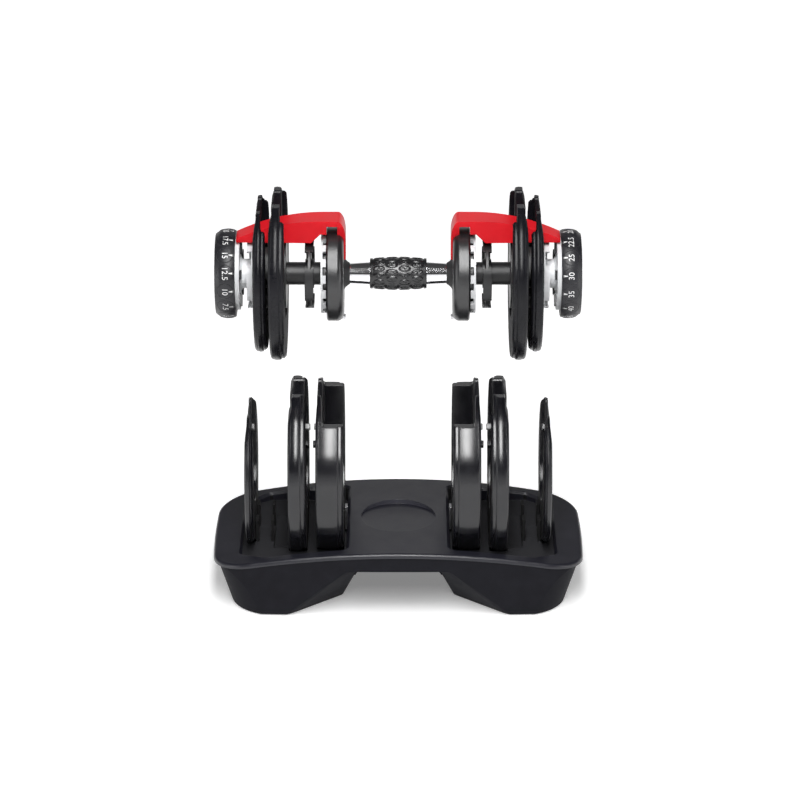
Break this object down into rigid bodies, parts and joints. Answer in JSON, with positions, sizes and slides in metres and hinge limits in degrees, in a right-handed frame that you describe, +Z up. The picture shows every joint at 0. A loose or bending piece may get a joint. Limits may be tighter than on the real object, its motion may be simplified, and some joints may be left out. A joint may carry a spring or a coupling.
{
  "type": "adjustable dumbbell",
  "caption": "Dial-select adjustable dumbbell lifted out of its tray, with part of its plates locked on the handle and the rest standing in the tray.",
  "frame": {"origin": "middle of the footprint, on the floor under the foot pads", "axes": "+X along the handle towards the right dial, +Z up, the front of the tray faces -Y"},
  "size_m": [0.416, 0.202, 0.4595],
  "materials": {
    "tray_plastic": "satin black moulded plastic",
    "rubber": "matt moulded rubber",
    "chrome": "polished",
    "steel": "plain",
    "bearing_brass": "turned",
    "white_plastic": "satin white moulded plastic",
    "dark_plastic": "satin black moulded plastic",
    "red_plastic": "semi-gloss red moulded plastic",
    "plate_cover": "glossy black moulding round the steel",
    "plate_core": "black painted steel"
  },
  "bodies": {
    "base": {"base_tray": "tray_plastic", "base_shell": "tray_plastic", "foot_pads": "rubber", "base_screws": "steel", "release_posts": "steel"},
    "handle": {"handle_bar": "chrome", "grip_sleeve": "rubber", "left_boot": "rubber", "right_boot": "rubber", "left_inner_disc": "dark_plastic", "right_inner_disc": "dark_plastic", "left_lock_spring": "steel", "right_lock_spring": "steel", "left_bridge_cover": "red_plastic", "right_bridge_cover": "red_plastic", "left_axle_bushings": "bearing_brass", "right_axle_bushings": "bearing_brass", "left_end_nut": "steel", "right_end_nut": "steel", "left_plate_third_cover": "plate_cover", "right_plate_third_cover": "plate_cover", "left_plate_third_core": "plate_core", "right_plate_third_core": "plate_core", "left_plate_fourth_cover": "plate_cover", "right_plate_fourth_cover": "plate_cover", "left_plate_fourth_core": "plate_core", "right_plate_fourth_core": "plate_core"},
    "left_dial": {"left_index_ring": "white_plastic", "left_selector_tube": "steel", "left_selector_disc_inner": "dark_plastic", "left_selector_disc_third": "dark_plastic", "left_selector_disc_fourth": "dark_plastic", "left_selector_disc_outer": "white_plastic", "left_drive_flange": "white_plastic", "left_dial_ring": "dark_plastic", "left_dial_cap": "dark_plastic"},
    "left_lock": {"left_lock_pin": "steel"},
    "left_plate_first": {"left_plate_first_cover": "plate_cover", "left_plate_first_core": "plate_core"},
    "left_plate_second": {"left_plate_second_cover": "plate_cover", "left_plate_second_core": "plate_core"},
    "left_plate_fifth": {"left_plate_fifth_cover": "plate_cover", "left_plate_fifth_core": "plate_core"},
    "right_dial": {"right_index_ring": "white_plastic", "right_selector_tube": "steel", "right_selector_disc_inner": "dark_plastic", "right_selector_disc_third": "dark_plastic", "right_selector_disc_fourth": "dark_plastic", "right_selector_disc_outer": "white_plastic", "right_drive_flange": "white_plastic", "right_dial_ring": "dark_plastic", "right_dial_cap": "dark_plastic"},
    "right_lock": {"right_lock_pin": "steel"},
    "right_plate_first": {"right_plate_first_cover": "plate_cover", "right_plate_first_core": "plate_core"},
    "right_plate_second": {"right_plate_second_cover": "plate_cover", "right_plate_second_core": "plate_core"},
    "right_plate_fifth": {"right_plate_fifth_cover": "plate_cover", "right_plate_fifth_core": "plate_core"}
  },
  "joints": [
    {"name": "handle_lift", "type": "slide", "parent": "base", "child": "handle", "axis": [0, 0, 1], "range_m": [-0.229, 0]},
    {"name": "left_dial_turn", "type": "hinge", "parent": "handle", "child": "left_dial", "pos_m": [-0.1885, 0, 0.371], "axis": [-1, 0, 0], "continuous": true},
    {"name": "right_dial_turn", "type": "hinge", "parent": "handle", "child": "right_dial", "pos_m": [0.1885, 0, 0.371], "axis": [1, 0, 0], "continuous": true},
    {"name": "left_lock_push", "type": "slide", "parent": "handle", "child": "left_lock", "axis": [0, 0, 1], "range_m": [0, 0.004], "stiffness_N_per_m": 400, "springref_m": -0.005, "deforming": ["left_lock_spring"]},
    {"name": "right_lock_push", "type": "slide", "parent": "handle", "child": "right_lock", "axis": [0, 0, 1], "range_m": [0, 0.004], "stiffness_N_per_m": 400, "springref_m": -0.005, "deforming": ["right_lock_spring"]},
    {"name": "left_plate_first_lift", "type": "slide", "parent": "base", "child": "left_plate_first", "axis": [0, 0, 1], "range_m": [0, 0.229]},
    {"name": "left_plate_second_lift", "type": "slide", "parent": "base", "child": "left_plate_second", "axis": [0, 0, 1], "range_m": [0, 0.229]},
    {"name": "left_plate_fifth_lift", "type": "slide", "parent": "base", "child": "left_plate_fifth", "axis": [0, 0, 1], "range_m": [0, 0.229]},
    {"name": "right_plate_first_lift", "type": "slide", "parent": "base", "child": "right_plate_first", "axis": [0, 0, 1], "range_m": [0, 0.229]},
    {"name": "right_plate_second_lift", "type": "slide", "parent": "base", "child": "right_plate_second", "axis": [0, 0, 1], "range_m": [0, 0.229]},
    {"name": "right_plate_fifth_lift", "type": "slide", "parent": "base", "child": "right_plate_fifth", "axis": [0, 0, 1], "range_m": [0, 0.229]}
  ]
}
